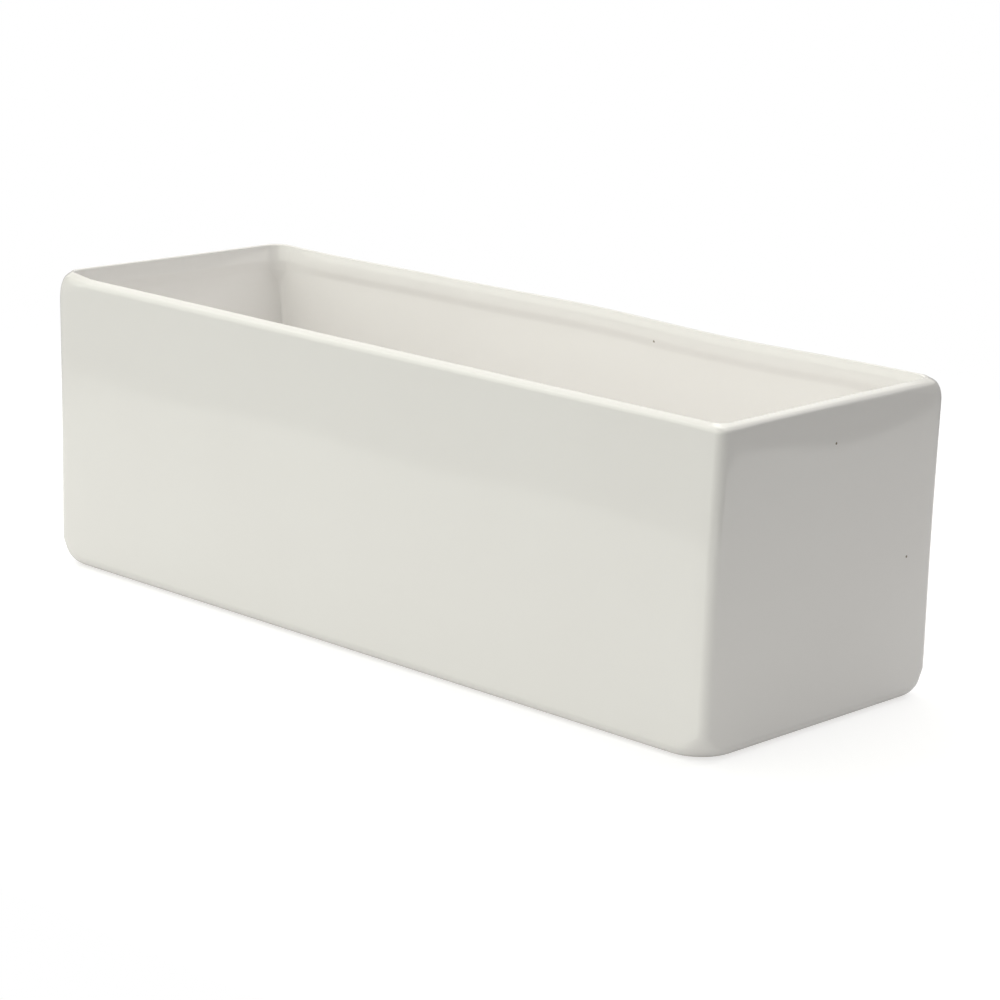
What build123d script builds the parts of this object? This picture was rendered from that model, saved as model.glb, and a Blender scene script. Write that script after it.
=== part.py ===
from build123d import *

import os
from math import radians, tan

# Indoor herb planter for a window sill, in millimetres: a slip-cast, glazed trough with three drain holes in
# its floor, a rubber stopper in each hole, and four rubber bumper feet stuck in the recess under its base.
# The origin is on the table, under the middle of the trough. +X runs along it, +Y to its back, +Z up.

# Trough, outside
LENGTH = 320.0  # along X, at the rim
WIDTH = 112.0  # along Y, at the rim
HEIGHT = 109.0  # from the table to the top of the rim
CORNER_RADIUS = 5.0  # upright edges, at the rim
OUTER_DRAFT = 0.5  # degrees, the walls lean in towards the foot
FOOT_EDGE_RADIUS = 3.8  # round between the walls and the foot

# Trough, inside
WALL = 4.0  # just under the lip
LIP_STEP = 0.9  # how far the lip stands in from the wall below it
LIP_HEIGHT = 6.0  # upright face of the lip, up to the top of the rim
LIP_SLOPE = 20.0  # degrees from upright, underside of the lip
RIM_OUTER_RADIUS = 3.5  # the rim falls away outwards from a ridge along its inner edge
RIM_INNER_RADIUS = 0.7
INNER_CORNER_RADIUS = 6.0  # upright corners, just under the lip
INNER_DRAFT = 2.0  # degrees, the walls thicken towards the floor
FLOOR = 6.0  # thickness over the recess
FLOOR_EDGE_RADIUS = 2.5  # round between the walls and the floor

# Base
FOOT_GAP = 0.6  # the bumper feet hold the foot ring this far off the table
FOOT_RING = 8.2  # width of the unglazed ring that the trough was fired on
RECESS_DEPTH = 2.4
RECESS_CORNER_RADIUS = 6.0

# Drain holes, one in the middle of each pot's bay
DRAIN_NAMES = ("left", "centre", "right")
DRAIN_RADIUS = 8.0
DRAIN_EDGE_RADIUS = 0.8  # the glaze rounds both ends of the hole

# Stoppers
FLANGE_LAP = 5.0  # how far the flange covers the floor round the hole
FLANGE_THICKNESS = 2.4
FLANGE_EDGE_RADIUS = 0.8
STEM_CLEARANCE = 0.5  # between the stem and the hole
STEM_PROUD = 0.8  # the stem shows this much under the floor
STEM_WALL = 3.0  # round the hollow in the stem
STEM_TIP_CHAMFER = 0.8
CROWN = 5.0  # from the hollow's roof to the top of the flange
RIB_COUNT = 2
RIB_PITCH = 2.2
RIB_HEIGHT = 1.2
RIB_CLEARANCE = 0.06  # between a sealing rib and the hole
TAB_LENGTH = 15.0  # finger tab on the flange
TAB_THICKNESS = 4.0
TAB_HEIGHT = 6.0
TAB_CORNER_RADIUS = 4.0
TAB_EDGE_RADIUS = 1.2

# Bumper feet
BUMPER_RADIUS = 8.0  # at the stuck face
BUMPER_DRAFT = 12.0  # degrees
BUMPER_EDGE_RADIUS = 0.6
BUMPER_INSET = 4.0  # from the walls of the recess to the bumper

# Levels above the table
CEILING_Z = FOOT_GAP + RECESS_DEPTH
FLOOR_Z = CEILING_Z + FLOOR
LIP_Z = HEIGHT - LIP_HEIGHT
LIP_RISE = LIP_STEP / tan(radians(LIP_SLOPE))
WALL_TOP_Z = LIP_Z - LIP_RISE

# What the driving sizes give
OUTER_TAPER = (HEIGHT - FOOT_GAP) * tan(radians(OUTER_DRAFT))
INNER_TAPER = (WALL_TOP_Z - FLOOR_Z) * tan(radians(INNER_DRAFT))
INNER_LENGTH = LENGTH - 2 * WALL
INNER_WIDTH = WIDTH - 2 * WALL
RIM = WALL + LIP_STEP
RECESS_INSET = OUTER_TAPER + FOOT_EDGE_RADIUS + FOOT_RING
RECESS_LENGTH = LENGTH - 2 * RECESS_INSET
RECESS_WIDTH = WIDTH - 2 * RECESS_INSET
BAY = (INNER_LENGTH - 2 * INNER_TAPER) / len(DRAIN_NAMES)
FLANGE_RADIUS = DRAIN_RADIUS + FLANGE_LAP

ROUND_MARGIN = 0.2  # a round stays this much inside the wall that limits it
PICK = 0.01  # how near an edge has to be to the place that it is picked by


def plan(length, width, radius, z):
    """Outline of the trough at one level."""
    return Pos(0, 0, z) * RectangleRounded(length, width, radius)


def edges_at(solid, z):
    """The edges that lie level at height z."""
    return solid.edges().filter_by_position(Axis.Z, z - PICK, z + PICK)


def circles(solid, radius):
    """The full circles of one radius, lowest first."""
    rings = solid.edges().filter_by(GeomType.CIRCLE).filter_by(lambda edge: edge.is_closed)
    return rings.filter_by(lambda edge: abs(edge.radius - radius) < PICK).sort_by(Axis.Z)


def drain_places():
    """Name and X place of each drain hole."""
    middle = (len(DRAIN_NAMES) - 1) / 2
    return [(name, (i - middle) * BAY) for i, name in enumerate(DRAIN_NAMES)]


def trough_outside():
    """The trough as a solid block that narrows to its rounded foot."""
    rim = plan(LENGTH, WIDTH, CORNER_RADIUS, HEIGHT)
    block = extrude(rim, FOOT_GAP - HEIGHT, taper=OUTER_DRAFT)
    corner = CORNER_RADIUS - OUTER_TAPER
    return fillet(edges_at(block, FOOT_GAP), min(FOOT_EDGE_RADIUS, corner - ROUND_MARGIN))


def trough_inside():
    """The hollow: floor, drafted walls, the lip's sloping underside and the mouth."""
    wall_top = plan(INNER_LENGTH, INNER_WIDTH, INNER_CORNER_RADIUS, WALL_TOP_Z)
    walls = extrude(wall_top, FLOOR_Z - WALL_TOP_Z, taper=INNER_DRAFT)
    corner = INNER_CORNER_RADIUS - INNER_TAPER
    walls = fillet(edges_at(walls, FLOOR_Z), min(FLOOR_EDGE_RADIUS, corner - ROUND_MARGIN))
    underside = extrude(wall_top, LIP_RISE, taper=LIP_SLOPE)
    mouth = plan(
        INNER_LENGTH - 2 * LIP_STEP, INNER_WIDTH - 2 * LIP_STEP, INNER_CORNER_RADIUS - LIP_STEP, LIP_Z
    )
    return walls + underside + extrude(mouth, LIP_HEIGHT)


def round_rim(body):
    """The rim's small inner round, then its large outer one."""
    body = fillet(body.faces().sort_by(Axis.Z)[-1].inner_wires().edges(), RIM_INNER_RADIUS)
    room = min(RIM - RIM_INNER_RADIUS, CORNER_RADIUS) - ROUND_MARGIN
    return fillet(body.faces().sort_by(Axis.Z)[-1].outer_wire().edges(), min(RIM_OUTER_RADIUS, room))


def planter_body():
    """The glazed trough, with its rounded rim, the recess under its base and the drain holes."""
    body = round_rim(trough_outside() - trough_inside())
    body -= extrude(plan(RECESS_LENGTH, RECESS_WIDTH, RECESS_CORNER_RADIUS, FOOT_GAP), RECESS_DEPTH)
    for _, x in drain_places():
        body -= extrude(Pos(x, 0, CEILING_Z) * Circle(DRAIN_RADIUS), FLOOR)
    return fillet(circles(body, DRAIN_RADIUS), DRAIN_EDGE_RADIUS)


def stopper_core():
    """Flange and hollow stem of a stopper, turned from a half section with Z = 0 on the trough's floor."""
    stem = DRAIN_RADIUS - STEM_CLEARANCE
    hollow = stem - STEM_WALL
    tip = -FLOOR - STEM_PROUD
    roof = FLANGE_THICKNESS - CROWN
    outline = Polyline(
        (0, FLANGE_THICKNESS),
        (FLANGE_RADIUS, FLANGE_THICKNESS),
        (FLANGE_RADIUS, 0),
        (stem, 0),
        (stem, tip + STEM_TIP_CHAMFER),
        (stem - STEM_TIP_CHAMFER, tip),
        (hollow, tip),
        (hollow, roof),
        (0, roof),
        close=True,
    )
    core = revolve(Plane.XZ * make_face(outline), Axis.Z)
    edge_radius = min(FLANGE_EDGE_RADIUS, FLANGE_THICKNESS - ROUND_MARGIN)
    return fillet(circles(core, FLANGE_RADIUS)[-1], edge_radius)


def sealing_rib(z):
    """One pointed rib round the stem."""
    stem = DRAIN_RADIUS - STEM_CLEARANCE
    root = stem - STEM_WALL / 2
    outline = Polyline(
        (root, z - RIB_HEIGHT / 2),
        (stem, z - RIB_HEIGHT / 2),
        (DRAIN_RADIUS - RIB_CLEARANCE, z),
        (stem, z + RIB_HEIGHT / 2),
        (root, z + RIB_HEIGHT / 2),
        close=True,
    )
    return revolve(Plane.XZ * make_face(outline), Axis.Z)


def finger_tab():
    """The upright tab that a stopper is pulled out by."""
    base = Pos(0, 0, FLANGE_THICKNESS) * Rectangle(TAB_LENGTH, TAB_THICKNESS)
    tab = extrude(base, TAB_HEIGHT)
    corner = min(TAB_CORNER_RADIUS, TAB_HEIGHT - ROUND_MARGIN, TAB_LENGTH / 2 - ROUND_MARGIN)
    tab = fillet(edges_at(tab, FLANGE_THICKNESS + TAB_HEIGHT).filter_by(Axis.Y), corner)
    sides = tab.faces().filter_by(Axis.Y).edges()
    rims = sides.filter_by(lambda edge: edge.center().Z > FLANGE_THICKNESS + PICK)
    return fillet(rims, min(TAB_EDGE_RADIUS, TAB_THICKNESS / 2 - ROUND_MARGIN))


def stopper():
    """A rubber stopper, seated with its flange on the floor of the trough."""
    body = stopper_core() + finger_tab()
    for i in range(RIB_COUNT):
        body += sealing_rib(-FLOOR / 2 + (i - (RIB_COUNT - 1) / 2) * RIB_PITCH)
    return Pos(0, 0, FLOOR_Z) * body


def bumper_foot():
    """A rubber bumper, stuck to the ceiling of the recess and standing on the table."""
    bumper = extrude(Pos(0, 0, CEILING_Z) * Circle(BUMPER_RADIUS), -CEILING_Z, taper=BUMPER_DRAFT)
    return fillet(edges_at(bumper, 0), BUMPER_EDGE_RADIUS)


def bumper_places():
    """Name and place of each bumper foot, in the corners of the recess."""
    x = RECESS_LENGTH / 2 - BUMPER_INSET - BUMPER_RADIUS
    y = RECESS_WIDTH / 2 - BUMPER_INSET - BUMPER_RADIUS
    return [
        (f"{depth}_{side}", side_sign * x, depth_sign * y)
        for depth, depth_sign in (("front", -1), ("back", 1))
        for side, side_sign in (("left", -1), ("right", 1))
    ]


def nodes():
    """Every piece in its place, by name."""
    pieces = {"planter_body": planter_body()}
    for name, x in drain_places():
        pieces[f"drain_stopper_{name}"] = Pos(x, 0, 0) * stopper()
    for name, x, y in bumper_places():
        pieces[f"bumper_foot_{name}"] = Pos(x, y, 0) * bumper_foot()
    return pieces


os.makedirs("parts", exist_ok=True)
for node, piece in nodes().items():
    export_step(piece, f"parts/{node}.step")
    print(node, round(piece.volume / 1000, 2), "cm3")
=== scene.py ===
import math

import bmesh
import bpy
from mathutils import Matrix, Vector


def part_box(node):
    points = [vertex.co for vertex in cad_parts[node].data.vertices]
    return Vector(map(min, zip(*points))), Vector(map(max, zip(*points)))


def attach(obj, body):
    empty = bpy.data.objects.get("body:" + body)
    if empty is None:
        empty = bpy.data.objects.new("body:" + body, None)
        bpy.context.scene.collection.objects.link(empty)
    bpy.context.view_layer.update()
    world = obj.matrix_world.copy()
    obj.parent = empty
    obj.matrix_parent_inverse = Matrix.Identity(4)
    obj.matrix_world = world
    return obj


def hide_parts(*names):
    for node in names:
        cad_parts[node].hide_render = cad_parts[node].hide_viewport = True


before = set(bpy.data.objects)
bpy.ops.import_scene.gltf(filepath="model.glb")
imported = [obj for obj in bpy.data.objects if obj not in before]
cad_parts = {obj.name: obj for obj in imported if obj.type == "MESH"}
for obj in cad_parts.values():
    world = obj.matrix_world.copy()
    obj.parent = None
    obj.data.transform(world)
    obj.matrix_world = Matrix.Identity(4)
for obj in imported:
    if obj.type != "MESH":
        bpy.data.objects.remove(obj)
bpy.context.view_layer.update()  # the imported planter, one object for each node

mm = 0.001  # lengths below are in millimetres, and the scene is in metres
scene = bpy.context.scene
print("frame loaded:", len(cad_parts), "nodes")


def linear(hexColour):  # an sRGB hex value as the linear colour that a shader takes
    channels = [int(hexColour[i:i + 2], 16) / 255 for i in (1, 3, 5)]
    return [c / 12.92 if c <= 0.04045 else ((c + 0.055) / 1.055) ** 2.4 for c in channels] + [1]


def addNode(tree, kind, sockets=None, **settings):  # a node with its settings, values and links
    node = tree.nodes.new(kind)
    for name, value in settings.items():
        setattr(node, name, value)
    for socket, value in (sockets or {}).items():
        if isinstance(value, bpy.types.NodeSocket):
            tree.links.new(value, node.inputs[socket])
        else:
            node.inputs[socket].default_value = value
    return node


def newMaterial(name):
    material = bpy.data.materials.new(name)
    material.use_nodes = True
    material.node_tree.nodes.clear()
    return material, material.node_tree


def perMetre(size):  # texture scale for a pattern whose features are this many millimetres apart
    return 1 / (size * mm)


def finishSurface(tree, colour, height, depth, sockets):  # a solid surface with fine relief
    bump = addNode(tree, "ShaderNodeBump", {"Height": height, "Distance": depth * mm})
    shader = addNode(tree, "ShaderNodeBsdfPrincipled", {
        "Base Color": colour, "Normal": bump.outputs["Normal"], **sockets,
    })
    addNode(tree, "ShaderNodeOutputMaterial", {"Surface": shader.outputs["BSDF"]})


# Camera at the photo's place: azimuth 0 looks along +Y, and the roll turns the picture clockwise
camera = {
    "azimuth": 44.167,
    "elevation": 14.515,
    "roll": 1.198,
    "distance": 1153.1,
    "target": (14.44, 0, 47.69),
    "lens": 121.03,
    "sensor": 36,
}


def addCamera():
    azimuth = math.radians(camera["azimuth"])
    elevation = math.radians(camera["elevation"])
    roll = math.radians(camera["roll"])
    back = Vector((
        math.sin(azimuth) * math.cos(elevation),
        -math.cos(azimuth) * math.cos(elevation),
        math.sin(elevation),
    ))
    level = Vector((0, 0, 1)).cross(back).normalized()
    upright = back.cross(level)
    right = math.cos(roll) * level + math.sin(roll) * upright
    up = math.cos(roll) * upright - math.sin(roll) * level
    data = bpy.data.cameras.new("photoCamera")
    data.sensor_fit = "HORIZONTAL"
    data.sensor_width = camera["sensor"]
    data.lens = camera["lens"]
    eye = bpy.data.objects.new("photoCamera", data)
    place = (Vector(camera["target"]) + back * camera["distance"]) * mm
    eye.matrix_world = Matrix.Translation(place) @ Matrix((right, up, back)).transposed().to_4x4()
    scene.collection.objects.link(eye)
    scene.camera = eye


addCamera()
print("camera placed")


# Glazed stoneware, dipped and fired: a clear glassy skin over warm white, so reflections are sharp
# and only just uneven, the tone drifts a little with the glaze's thickness, and iron specks show
glaze = {
    "thick": "#F6F4F3",
    "thin": "#F3F0EF",
    "edge": "#E6E3E0",  # where the glaze ran off the rim, and darker still as painted shade that tones down the brightly lit top of the rim
    "toneSize": 70,
    "toneDetail": 3,
    "roughness": 0.05,
    "ior": 1.6,
    "peelSize": 4.5,
    "peelDepth": 0.005,
    "speck": "#85796A",
    "speckPlaces": ((37.8, 50.3, 100.1), (159.3, 0.2, 94.2), (158.4, 40.3, 50.2)),  # those that stand out
    "speckRadius": 0.42,
    "speckBlur": 0.3,  # share of the radius
    "fineCell": 24,  # faint pinpricks, one to a cell in the few cells that have one
    "fineRadius": 0.3,
    "fineShare": 0.3,
    "fineStrength": 0.22,
}


def glazedStoneware():
    material, tree = newMaterial("glazedStoneware")
    place = addNode(tree, "ShaderNodeTexCoord").outputs["Object"]
    tone = addNode(tree, "ShaderNodeTexNoise", {
        "Vector": place, "Scale": perMetre(glaze["toneSize"]), "Detail": glaze["toneDetail"],
    })
    body = addNode(tree, "ShaderNodeMix", {
        0: tone.outputs["Fac"], 6: linear(glaze["thick"]), 7: linear(glaze["thin"]),
    }, data_type="RGBA")
    # the rim's edge tone: thinner glaze, and partly painted shade on the lit top of the rim
    rim = addNode(tree, "ShaderNodeAttribute", attribute_name="thinGlazeAndRimShade")
    edgedAndShaded = addNode(tree, "ShaderNodeMix", {
        0: rim.outputs["Fac"], 6: body.outputs[2], 7: linear(glaze["edge"]),
    }, data_type="RGBA")

    # faint pinpricks, then the specks that stand out
    outermost, innermost = 1 + glaze["speckBlur"], 1 - glaze["speckBlur"]
    cells = addNode(tree, "ShaderNodeTexVoronoi", {"Vector": place, "Scale": perMetre(glaze["fineCell"])})
    radius = glaze["fineRadius"] / glaze["fineCell"]
    pinprick = addNode(tree, "ShaderNodeMapRange", {
        "Value": cells.outputs["Distance"], "From Min": outermost * radius, "From Max": innermost * radius,
        "To Max": glaze["fineStrength"],
    })
    draw = addNode(tree, "ShaderNodeSeparateColor", {"Color": cells.outputs["Color"]})
    chosen = addNode(tree, "ShaderNodeMath", {
        0: draw.outputs["Red"], 1: glaze["fineShare"],
    }, operation="LESS_THAN")
    specks = addNode(tree, "ShaderNodeMath", {
        0: pinprick.outputs["Result"], 1: chosen.outputs["Value"],
    }, operation="MULTIPLY").outputs["Value"]
    radius = glaze["speckRadius"] * mm
    for centre in glaze["speckPlaces"]:
        away = addNode(tree, "ShaderNodeVectorMath", {0: place, 1: Vector(centre) * mm}, operation="DISTANCE")
        spot = addNode(tree, "ShaderNodeMapRange", {
            "Value": away.outputs["Value"], "From Min": outermost * radius, "From Max": innermost * radius,
        })
        specks = addNode(tree, "ShaderNodeMath", {
            0: specks, 1: spot.outputs["Result"],
        }, operation="MAXIMUM").outputs["Value"]
    speckled = addNode(tree, "ShaderNodeMix", {
        0: specks, 6: edgedAndShaded.outputs[2], 7: linear(glaze["speck"]),
    }, data_type="RGBA")

    peel = addNode(tree, "ShaderNodeTexNoise", {"Vector": place, "Scale": perMetre(glaze["peelSize"])})
    finishSurface(tree, speckled.outputs[2], peel.outputs["Fac"], glaze["peelDepth"], {
        "Roughness": glaze["roughness"], "IOR": glaze["ior"],
    })
    return material


# Bare stoneware, wiped clean of glaze and fired: matt, buff and finely gritty
bareFoot = {
    "colour": "#CFC3AC",
    "grit": "#B9AB91",
    "gritSize": 0.6,
    "gritDepth": 0.03,
    "roughness": 0.85,
}


def bareStoneware():
    material, tree = newMaterial("bareStoneware")
    place = addNode(tree, "ShaderNodeTexCoord").outputs["Object"]
    grit = addNode(tree, "ShaderNodeTexNoise", {"Vector": place, "Scale": perMetre(bareFoot["gritSize"])})
    colour = addNode(tree, "ShaderNodeMix", {
        0: grit.outputs["Fac"], 6: linear(bareFoot["colour"]), 7: linear(bareFoot["grit"]),
    }, data_type="RGBA")
    finishSurface(tree, colour.outputs[2], grit.outputs["Fac"], bareFoot["gritDepth"], {
        "Roughness": bareFoot["roughness"],
    })
    return material


# The trough: one skin of rounded-rectangle rings, from the recess under it up over the rim and down inside
trough = {
    "longSteps": 78,  # in three equal bays
    "shortSteps": 28,
    "cornerSteps": 10,
    "floorSteps": 7,
    "rows": {  # of faces over each stretch, in the order of the rings
        "recessEdge": 4, "foot": 10, "wall": 24, "rim": 12, "rimSlope": 4, "crest": 10,
        "lip": 8, "underside": 10, "inside": 24, "floorRound": 8, "drainEdge": 5,
    },
    "flatRows": (0.3, 0.7),  # across the flat of the foot
    "wallMargin": 0.2,  # the warped walls stay this far inside the box of the solid
    "rimMargin": 1.25,  # the level of the rim, under its highest corner
    "endLean": 1.7,  # how far the ends lean in from rim to foot
    "sideLean": -0.65,  # the sides lean out
    "corner": 3.4,  # upright edges
    "footShift": -0.7,  # the foot stands a little to the left of the rim
    "cornerShares": (1, 1.15, 1.5, 1.75),  # front right, back right, back left, front left
    "mouthShares": (1, 1.2, 1.5, 1.4),
    "footShares": (1, 0.62, 0.6, 0.85),
    "cornerFalls": (3.2, 7.6, 5, 9.5),  # the rim falls further at its corners
    "cornerReach": 20,
    "fallTaper": 0.25,  # and along the front it falls less towards the right
    "footCorner": 15,  # corners of the foot, seen from below
    "footBlend": 9,  # height over which they turn into the upright edges
    "footRound": 4.2,
    "wallEase": 0.5,  # the rows of the outer wall keep this far from the rounds of foot and rim
    "recessInset": 13,
    "recessCorner": 6,
    "recessEdge": 0.6,
    "glazeLine": 0.5,  # the bare foot reaches this far up the round
    "rimOuter": 2.3,
    "rimTilt": 16,  # degrees, the top of the rim slopes outwards from a crest by the mouth
    "rimSlope": 1.4,
    "rimInner": 0.6,
    "thinAndShadeReach": 0.5,  # share of the rim's width over which the glaze thins and the painted shade on the rim's top comes in
    "mouthCorner": 4.5,
    "lipFace": 6,  # down to the lower edge of the lip
    "lipUnderside": 3.8,
    "lipLean": 1.0,  # the lip bulges in this far, down to its lower edge
    "lipStep": 0.8,  # and the wall below stands back this far
    "lipFade": (-125, -153),  # bulge and step flatten out towards the left end
    "innerCorner": 4,
    "creaseCorner": 0.7,  # where the inner corner is sharpest
    "creaseDepth": 5,
    "creaseEnd": 50,  # from this depth it widens to the floor
    "floorCorner": 8,
    "endDraft": 2,
    "endSwell": 2.6,  # the end walls thicken quickly just under the lip
    "swellDepth": 25,
    "sideDraft": 2,
    "floorThickness": 6,
    "floorRound": 6,
    "drainRadius": 8,
    "drainEdge": 0.8,
    "sideWarp": 0.08,  # how far the fired walls stray from flat
    "sideWave": 125,
    "sideSlant": 0.45,
    "endWarp": 0.17,
    "endWave": 110,
    "endMiddle": 80,  # height where the ends' wave passes through flat
    "warpStart": 12,  # none of it at the foot, all of it from this far above the recess
    "backWaves": ((0.5, -14, 192), (0.2, 16, 105)),  # the rim's waves: height, place of a crest, length
    "backSink": 0.35,
    "frontWaves": ((0.1, -150, 300),),
    "frontSink": 0.15,
    "leftRise": (0.6, 0.0105),  # of the left end, and its slope towards the front
    "leftReach": (-140, -154),
    "waveReach": (58, 10),  # below the rim, where the waves have died away and where they are whole
}
rimTilt = math.radians(trough["rimTilt"])
rimWidth = (
    trough["rimOuter"] * (1 - math.sin(rimTilt))
    + trough["rimSlope"]
    + trough["rimInner"] * (1 + math.sin(rimTilt))
)
rimFall = (
    trough["rimOuter"] * math.cos(rimTilt)
    + trough["rimSlope"] * math.tan(rimTilt)
    + trough["rimInner"] * (1 - math.cos(rimTilt))
)


def smooth(t):
    t = min(max(t, 0), 1)
    return t * t * (3 - 2 * t)


def mix(a, b, t):
    return a + (b - a) * t


quarters = ((1, -1), (1, 1), (-1, 1), (-1, -1))  # the corners, in the order of the ring


def steps(count, first=0):  # shares in equal steps up to 1, from 0 or a later one
    return [i / count for i in range(first, count + 1)]


def ringPoints(halfLength, halfWidth, radius, shares):  # points, outward directions and ways to push them
    points = []
    for quarter, (sx, sy) in enumerate(quarters):
        own = radius * shares[quarter]
        following = radius * shares[(quarter + 1) % 4]
        cx = sx * (halfLength - own)
        cy = sy * (halfWidth - own)
        for turned in steps(trough["cornerSteps"]):
            angle = math.radians(90 * (quarter - 1 + turned))
            nx, ny = math.cos(angle), math.sin(angle)
            points.append((cx + own * nx, cy + own * ny, nx, ny, sx, sy))
        sideSteps = trough["shortSteps"] if quarter % 2 == 0 else trough["longSteps"]
        length = 2 * (halfWidth if quarter % 2 == 0 else halfLength) - own - following
        x, y, nx, ny = points[-1][:4]
        for i in range(1, sideSteps):
            along = length * i / sideSteps
            points.append((x - ny * along, y + nx * along, nx, ny, nx, ny))
    return points


def span(value, start, end):
    return smooth((value - start) / (end - start))


def waves(x, parts):
    return sum(height * math.cos(math.tau * (x - crest) / length) for height, crest, length in parts)


def rimWave(x, y, halfWidth):  # how far the fired rim rises or sinks
    back = waves(x, trough["backWaves"]) - trough["backSink"]
    front = waves(x, trough["frontWaves"]) - trough["frontSink"]
    rise, slope = trough["leftRise"]
    left = (rise - slope * y) * span(x, *trough["leftReach"])
    return mix(front, back, span(y, -halfWidth, halfWidth)) + left


def wallWarp(x, y, z, nx, ny, halfWidth):  # the sides wave along their length, the ends across and upwards
    side = trough["sideWarp"] * math.sin(math.tau * (x + trough["sideSlant"] * z) / trough["sideWave"])
    upwards = math.sin(math.tau * (z - trough["endMiddle"]) / trough["endWave"])
    end = -trough["endWarp"] * math.cos(math.pi * y / halfWidth) * upwards
    return abs(ny) * side + abs(nx) * end


def cornerShares(inner, above):  # how round each corner is, compared with the front right one
    sets = zip(trough["footShares"], trough["cornerShares"], trough["mouthShares"])
    return [mix(foot, mix(outer, mouth, inner), above) for foot, outer, mouth in sets]


def cornerFall(x, y, halfLength, halfWidth):  # how much further the rim falls here than along its sides
    extra = 0
    for (sx, sy), fall in zip(quarters, trough["cornerFalls"]):
        away = math.hypot(x - sx * halfLength, y - sy * halfWidth)
        extra += (fall / rimFall - 1) * smooth(1 - away / trough["cornerReach"])
    taper = trough["fallTaper"] * x / halfLength
    return 1 + extra - taper * span(y, halfWidth / 2, -halfWidth / 2)


def fallen(z, factor, rimZ):  # height of a point of the outside, lowered with the rim's fall
    drop = rimZ - z
    reach = trough["cornerReach"]
    if drop <= rimFall:
        return rimZ - drop * factor
    if drop >= reach:
        return z
    return mix(rimZ - rimFall * factor, rimZ - reach, (drop - rimFall) / (reach - rimFall))


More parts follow.
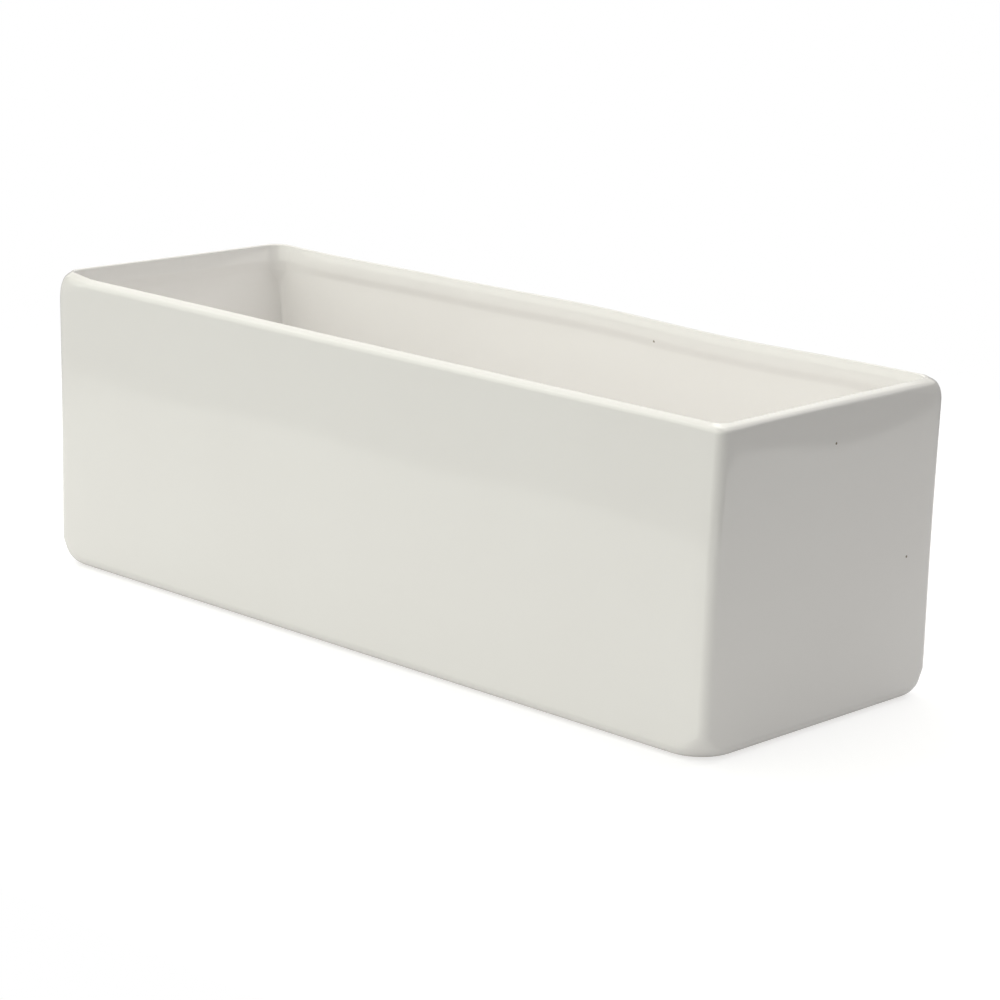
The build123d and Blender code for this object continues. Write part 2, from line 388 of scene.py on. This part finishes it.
def troughRings(size):
    t, rows = trough, trough["rows"]
    footZ, rimZ, ceilingZ, floorZ = size["footZ"], size["rimZ"], size["ceilingZ"], size["floorZ"]
    rings = []

    def ring(end, side, radius, z, bare=False, inner=0, fill=0, thin=0):
        rings.append({
            "end": end, "side": side, "radius": radius, "z": z,
            "bare": bare, "inner": inner, "fill": fill, "thin": thin,
        })

    def inside(inset, radius, z, fill=0, thin=0):
        ring(inset, inset, radius, z, inner=1, fill=fill, thin=thin)

    def lean(z):
        low = (rimZ - z) / (rimZ - footZ)
        return t["endLean"] * low, t["sideLean"] * low

    def outerCorner(z):
        return mix(t["footCorner"], t["corner"], smooth((z - footZ) / t["footBlend"]))

    def outer(inset, radius, z):
        end, side = lean(z)
        across = inset / rimWidth
        ring(end + inset, side + inset, radius, z, inner=across, thin=smooth(across / t["thinAndShadeReach"]))

    # recess under the base, then the foot ring
    ring(t["recessInset"], t["recessInset"], t["recessCorner"], ceilingZ)
    edge = t["recessEdge"]
    for along in steps(rows["recessEdge"]):
        turn = math.radians(90 * along)
        inset = t["recessInset"] - edge * (1 - math.cos(turn))
        ring(inset, inset, t["recessCorner"], footZ + edge * (1 - math.sin(turn)), True)
    flatEnd, flatSide = lean(footZ)
    for along in t["flatRows"]:
        start = t["recessInset"] - edge
        ring(
            mix(start, flatEnd + t["footRound"], along),
            mix(start, flatSide + t["footRound"], along),
            mix(t["recessCorner"], t["footCorner"] - t["footRound"], along),
            footZ,
            True,
        )

    # rounded foot, outer wall, rounded rim
    for along in steps(rows["foot"]):
        turn = math.radians(90 * along)
        inset = t["footRound"] * (1 - math.sin(turn))
        z = footZ + t["footRound"] * (1 - math.cos(turn))
        end, side = lean(z)
        ring(end + inset, side + inset, outerCorner(z) - inset, z, z < footZ + t["glazeLine"])
    low = footZ + t["footRound"]
    high = rimZ - rimFall
    for along in steps(rows["wall"]):
        z = mix(low + t["wallEase"], high - t["wallEase"], along)
        outer(0, outerCorner(z), z)

    def rimCorner(inset):
        return mix(t["corner"], t["mouthCorner"], inset / rimWidth)

    for along in steps(rows["rim"]):
        turn = mix(math.pi / 2, rimTilt, along)
        inset = t["rimOuter"] * (1 - math.sin(turn))
        outer(inset, rimCorner(inset), high + t["rimOuter"] * math.cos(turn))
    for along in steps(rows["rimSlope"], 1)[:-1]:
        run = t["rimSlope"] * along
        z = high + t["rimOuter"] * math.cos(rimTilt) + run * math.tan(rimTilt)
        outer(inset + run, rimCorner(inset + run), z)

    # crest, lip and its soft underside
    for along in steps(rows["crest"]):
        turn = mix(rimTilt, -math.pi / 2, along)
        inset = rimWidth - t["rimInner"] * (1 + math.sin(turn))
        inside(inset, rimCorner(inset), rimZ - t["rimInner"] * (1 - math.cos(turn)), thin=1 - along)
    for along in steps(rows["lip"], 1):
        z = mix(rimZ - t["rimInner"], rimZ - t["lipFace"], along)
        bulge = t["lipLean"] * (1 - along) * along
        inside(rimWidth + t["lipLean"] * along + bulge, t["mouthCorner"], z, fill=-bulge)
    wall = rimWidth + t["lipLean"] - t["lipStep"]
    for along in steps(rows["underside"], 1):
        share = smooth(along)
        inset = mix(rimWidth + t["lipLean"], wall, share)
        radius = mix(t["mouthCorner"], t["innerCorner"], share)
        inside(inset, radius, rimZ - t["lipFace"] - t["lipUnderside"] * along, fill=t["lipStep"] * share)

    # inner wall and the round into the floor
    top = rimZ - t["lipFace"] - t["lipUnderside"]
    bottom = floorZ + t["floorRound"]
    for along in steps(rows["inside"], 1):
        z = mix(top, bottom, along)
        depth = top - z
        crease = mix(t["innerCorner"], t["creaseCorner"], smooth(depth / t["creaseDepth"]))
        radius = mix(crease, t["floorCorner"], span(depth, t["creaseEnd"], top - bottom))
        swell = t["endSwell"] * smooth(depth / t["swellDepth"])
        endInset = wall + swell + depth * math.tan(math.radians(t["endDraft"]))
        sideInset = wall + depth * math.tan(math.radians(t["sideDraft"]))
        ring(endInset, sideInset, radius, z, inner=1, fill=t["lipStep"])
    for along in steps(rows["floorRound"], 1):
        turn = math.radians(90 * along)
        inset = t["floorRound"] * (1 - math.cos(turn))
        z = floorZ + t["floorRound"] * (1 - math.sin(turn))
        fill = t["lipStep"] * (1 - along)
        ring(endInset + inset, sideInset + inset, t["floorCorner"] - inset, z, inner=1, fill=fill)
    return rings


def bayLoops(mesh, ring, z):  # the three bays of a floor or ceiling, as closed loops of vertices
    corner, short, long = trough["cornerSteps"], trough["shortSteps"], trough["longSteps"]
    backStart = 2 * corner + short
    frontStart = backStart + long + corner + short + corner
    third = long // 3
    backRight, backLeft = backStart + third, backStart + 2 * third
    frontLeft, frontRight = frontStart + third, frontStart + 2 * third

    def run(start, end):  # along the ring, both ends included
        count = (end - start) % len(ring)
        return [ring[(start + i) % len(ring)] for i in range(count + 1)]

    def divider(front, back):
        points = []
        for i in range(1, short):
            place = ring[front].co.lerp(ring[back].co, i / short)
            points.append(mesh.verts.new((place.x, place.y, z * mm)))
        return points

    left = divider(frontLeft, backLeft)
    right = divider(frontRight, backRight)
    return [
        run(backLeft, frontLeft) + left,
        run(frontLeft, frontRight) + right + run(backRight, backLeft) + left[::-1],
        run(frontRight, backRight) + right[::-1],
    ]


def bridge(mesh, lower, upper, material=0):
    for i in range(len(lower)):
        j = (i + 1) % len(lower)
        face = mesh.faces.new((lower[i], lower[j], upper[j], upper[i]))
        face.material_index = material
        face.smooth = True


def cutDrain(mesh, floorLoop, ceilingLoop, x, size):  # the floor round one drain hole, the hole, the ceiling
    directions = [Vector((v.co.x - x * mm, v.co.y, 0)).normalized() for v in floorLoop]
    edge = trough["drainEdge"]
    outerRadius = trough["drainRadius"] + edge

    def circle(radius, z):
        return [Vector((x + d.x * radius, d.y * radius, z)) * mm for d in directions]

    def flat(loop, z, shares):  # rows between a loop and the edge of the hole
        edgePlaces = circle(outerRadius, z)
        return [[mesh.verts.new(v.co.lerp(e, share)) for v, e in zip(loop, edgePlaces)] for share in shares]

    def rounded(radius, z):
        return [mesh.verts.new(place) for place in circle(radius, z)]

    turns = [math.radians(90 * along) for along in steps(trough["rows"]["drainEdge"])]
    inward = steps(trough["floorSteps"], 1)[:-1]
    rows = [floorLoop] + flat(floorLoop, size["floorZ"], inward)
    for turn in turns:
        z = size["floorZ"] - edge * (1 - math.cos(turn))
        rows.append(rounded(outerRadius - edge * math.sin(turn), z))
    for turn in turns:
        z = size["ceilingZ"] + edge * (1 - math.sin(turn))
        rows.append(rounded(outerRadius - edge * math.cos(turn), z))
    rows += flat(ceilingLoop, size["ceilingZ"], inward[::-1]) + [ceilingLoop]
    for lower, upper in zip(rows, rows[1:]):
        bridge(mesh, lower, upper)


def glazedTrough():
    t = trough
    low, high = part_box("planter_body")
    footZ, rimZ = low.z / mm, high.z / mm - t["rimMargin"]
    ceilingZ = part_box("bumper_foot_front_left")[1].z / mm
    floorZ = ceilingZ + t["floorThickness"]
    size = {"footZ": footZ, "rimZ": rimZ, "ceilingZ": ceilingZ, "floorZ": floorZ}
    halfLength = high.x / mm - t["wallMargin"]
    halfWidth = high.y / mm - t["wallMargin"] + min(t["sideLean"], 0)
    mesh = bmesh.new()
    thinGlazeAndRimShade = mesh.verts.layers.float.new("thinGlazeAndRimShade")
    loops = []
    rings = troughRings(size)
    for ring in rings:
        z = ring["z"]
        waving = span(rimZ - z, *t["waveReach"])
        shift = t["footShift"] * (1 - ring["inner"]) * (rimZ - z) / (rimZ - footZ)
        above = smooth((z - footZ) / t["footBlend"])
        above *= t["corner"] / mix(t["footCorner"], t["corner"], above)
        shares = cornerShares(ring["inner"], above)
        loop = []
        points = ringPoints(halfLength - ring["end"], halfWidth - ring["side"], ring["radius"], shares)
        for x, y, nx, ny, sx, sy in points:
            stray = wallWarp(x, y, z, nx, ny, halfWidth) * smooth((z - ceilingZ) / t["warpStart"])
            fill = ring["fill"] * span(x, *t["lipFade"])
            level = z
            if ring["inner"] != 1:
                level = fallen(z, cornerFall(x, y, halfLength, halfWidth), rimZ)
            level += waving * rimWave(x, y, halfWidth)
            place = Vector((x + shift + nx * stray - sx * fill, y + ny * stray - sy * fill, level))
            point = mesh.verts.new(place * mm)
            # thin glaze on the rim, which also carries the painted shade on its top
            point[thinGlazeAndRimShade] = ring["thin"]
            loop.append(point)
        loops.append(loop)
    for i in range(len(loops) - 1):
        bridge(mesh, loops[i], loops[i + 1], int(rings[i]["bare"] and rings[i + 1]["bare"]))
    floorLoops = bayLoops(mesh, loops[-1], floorZ)
    ceilingLoops = bayLoops(mesh, loops[0], ceilingZ)
    for name, floorLoop, ceilingLoop in zip(("left", "centre", "right"), floorLoops, ceilingLoops):
        stopperLow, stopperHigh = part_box(f"drain_stopper_{name}")
        cutDrain(mesh, floorLoop, ceilingLoop, (stopperLow.x + stopperHigh.x) / 2 / mm, size)
    bmesh.ops.recalc_face_normals(mesh, faces=mesh.faces)
    data = bpy.data.meshes.new("glazedTrough")
    mesh.to_mesh(data)
    mesh.free()
    data.materials.append(glazedStoneware())
    data.materials.append(bareStoneware())
    piece = bpy.data.objects.new("glazedTrough", data)
    scene.collection.objects.link(piece)
    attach(piece, "planter")
    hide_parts("planter_body")
    return piece


body = glazedTrough()
print("trough built:", len(body.data.polygons), "faces")


# Silicone rubber, moulded in a fine-blasted tool: satin, with a soft sheen and a faint dusty tone
stopperRubber = {
    "colour": "#7B7B77",
    "dust": "#8A8983",
    "dustSize": 6,
    "dustDetail": 4,
    "grainSize": 0.35,  # drawn coarser than the real grain, which is too fine to show
    "grainDepth": 0.02,
    "roughness": 0.5,
}

# Black rubber, moulded: matt and slightly mottled
bumperRubber = {
    "colour": "#353534",
    "dust": "#464543",
    "dustSize": 4,
    "dustDetail": 4,
    "grainSize": 0.3,  # drawn coarser too
    "grainDepth": 0.02,
    "roughness": 0.7,
}


def mouldedRubber(name, look):
    material, tree = newMaterial(name)
    place = addNode(tree, "ShaderNodeTexCoord").outputs["Object"]
    dust = addNode(tree, "ShaderNodeTexNoise", {
        "Vector": place, "Scale": perMetre(look["dustSize"]), "Detail": look["dustDetail"],
    })
    colour = addNode(tree, "ShaderNodeMix", {
        0: dust.outputs["Fac"], 6: linear(look["colour"]), 7: linear(look["dust"]),
    }, data_type="RGBA")
    grain = addNode(tree, "ShaderNodeTexNoise", {"Vector": place, "Scale": perMetre(look["grainSize"])})
    finishSurface(tree, colour.outputs[2], grain.outputs["Fac"], look["grainDepth"], {
        "Roughness": look["roughness"],
    })
    return material


def finishRubber():
    satin = mouldedRubber("mouldedSiliconeRubber", stopperRubber)
    matt = mouldedRubber("mouldedBlackRubber", bumperRubber)
    for name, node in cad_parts.items():
        if name.startswith(("drain_stopper", "bumper_foot")):
            node.data.materials.clear()
            node.data.materials.append(satin if name.startswith("drain_stopper") else matt)


finishRubber()
print("rubber finished")


# Pale sheet under the planter, lit a little from below and fading into a pale surround, and three soft lamps
studio = {
    "sheet": "#E9E8E8",
    "sheetEdges": {"X": (-520, 386), "Y": (-275, 480)},
    "fades": {"X": (200, 8), "Y": (12, 200)},
    "gain": {"lights": 1, "shows": 1.68},  # it shows brighter than it lights, as the photo's ground is white
    "glow": {"lights": (0.2, 0.72), "shows": (0.7, 1.0)},  # share and level of its own light
    "seen": 1.0,  # level of the surround as the camera sees it
    "dimSide": 0.14,  # and of the light that it gives
    "paleSide": 0.34,
    "towardsPale": (-1, -0.08, 0),
    "turn": (-0.5, 0.7),  # where along it the surround begins and ends to grow paler
}
lamps = {  # aimed at a height over the middle of the trough
    "left": {"place": (-850, 250, 1000), "aim": 50, "size": (1400, 1400), "watts": 6.4, "tint": "#FFFEFA"},
    "back": {"place": (100, 560, 760), "aim": 60, "size": (1400, 950), "watts": 5.5, "tint": "#FFFEFA"},
    "front": {"place": (-100, -565, 590), "aim": 70, "size": (1900, 1000), "watts": 6.45, "tint": "#FCFFF2"},
}
white = (1, 1, 1, 1)


def addFloor():
    material, tree = newMaterial("paleSheet")
    material.cycles.emission_sampling = "NONE"
    place = addNode(tree, "ShaderNodeTexCoord").outputs["Object"]
    axes = addNode(tree, "ShaderNodeSeparateXYZ", {"Vector": place})
    cover = 1
    for axis, (low, high) in studio["sheetEdges"].items():
        lowFade, highFade = studio["fades"][axis]
        for start, end in ((low, low + lowFade), (high, high - highFade)):
            edge = addNode(tree, "ShaderNodeMapRange", {
                "Value": axes.outputs[axis], "From Min": start * mm, "From Max": end * mm,
            }, interpolation_type="SMOOTHSTEP")
            cover = addNode(tree, "ShaderNodeMath", {
                0: cover, 1: edge.outputs["Result"],
            }, operation="MULTIPLY").outputs["Value"]

    def lit(use):
        colour = [c * studio["gain"][use] for c in linear(studio["sheet"])]
        share, level = studio["glow"][use]
        plain = addNode(tree, "ShaderNodeBsdfDiffuse", {"Color": colour})
        glow = addNode(tree, "ShaderNodeEmission", {"Color": white, "Strength": level})
        return addNode(tree, "ShaderNodeMixShader", {
            0: share, 1: plain.outputs["BSDF"], 2: glow.outputs["Emission"],
        }).outputs["Shader"]

    path = addNode(tree, "ShaderNodeLightPath")
    pale = addNode(tree, "ShaderNodeMixShader", {
        0: path.outputs["Is Camera Ray"], 1: lit("lights"), 2: lit("shows"),
    })
    clear = addNode(tree, "ShaderNodeBsdfTransparent")
    faded = addNode(tree, "ShaderNodeMixShader", {
        0: cover, 1: clear.outputs["BSDF"], 2: pale.outputs["Shader"],
    })
    addNode(tree, "ShaderNodeOutputMaterial", {"Surface": faded.outputs["Shader"]})
    (x0, x1), (y0, y1) = studio["sheetEdges"]["X"], studio["sheetEdges"]["Y"]
    corners = [(x0, y0, 0), (x1, y0, 0), (x1, y1, 0), (x0, y1, 0)]
    data = bpy.data.meshes.new("paleSheet")
    data.from_pydata([Vector(c) * mm for c in corners], [], [(0, 1, 2, 3)])
    data.materials.append(material)
    floor = bpy.data.objects.new("paleSheet", data)
    scene.collection.objects.link(floor)


def addSurround():
    world = bpy.data.worlds.new("paleSurround")
    world.use_nodes = True
    tree = world.node_tree
    tree.nodes.clear()
    direction = addNode(tree, "ShaderNodeTexCoord").outputs["Generated"]
    side = addNode(tree, "ShaderNodeVectorMath", {
        0: direction, 1: studio["towardsPale"],
    }, operation="DOT_PRODUCT")
    strength = addNode(tree, "ShaderNodeMapRange", {
        "Value": side.outputs["Value"], "From Min": studio["turn"][0], "From Max": studio["turn"][1],
        "To Min": studio["dimSide"], "To Max": studio["paleSide"],
    }, interpolation_type="SMOOTHSTEP")
    lit = addNode(tree, "ShaderNodeBackground", {"Color": white, "Strength": strength.outputs["Result"]})
    seen = addNode(tree, "ShaderNodeBackground", {"Color": white, "Strength": studio["seen"]})
    path = addNode(tree, "ShaderNodeLightPath")
    both = addNode(tree, "ShaderNodeMixShader", {
        0: path.outputs["Is Camera Ray"], 1: lit.outputs["Background"], 2: seen.outputs["Background"],
    })
    addNode(tree, "ShaderNodeOutputWorld", {"Surface": both.outputs["Shader"]})
    scene.world = world


def addLamps():
    for name, lamp in lamps.items():
        data = bpy.data.lights.new(name, "AREA")
        data.shape = "RECTANGLE"
        data.size, data.size_y = (side * mm for side in lamp["size"])
        data.energy = lamp["watts"]
        data.color = linear(lamp["tint"])[:3]
        light = bpy.data.objects.new(name, data)
        place = Vector(lamp["place"]) * mm
        aim = Vector((0, 0, lamp["aim"])) * mm - place
        light.matrix_world = Matrix.Translation(place) @ aim.to_track_quat("-Z", "Y").to_matrix().to_4x4()
        scene.collection.objects.link(light)


addFloor()
addSurround()
addLamps()
scene.view_settings.view_transform = "Standard"
print("studio lit")
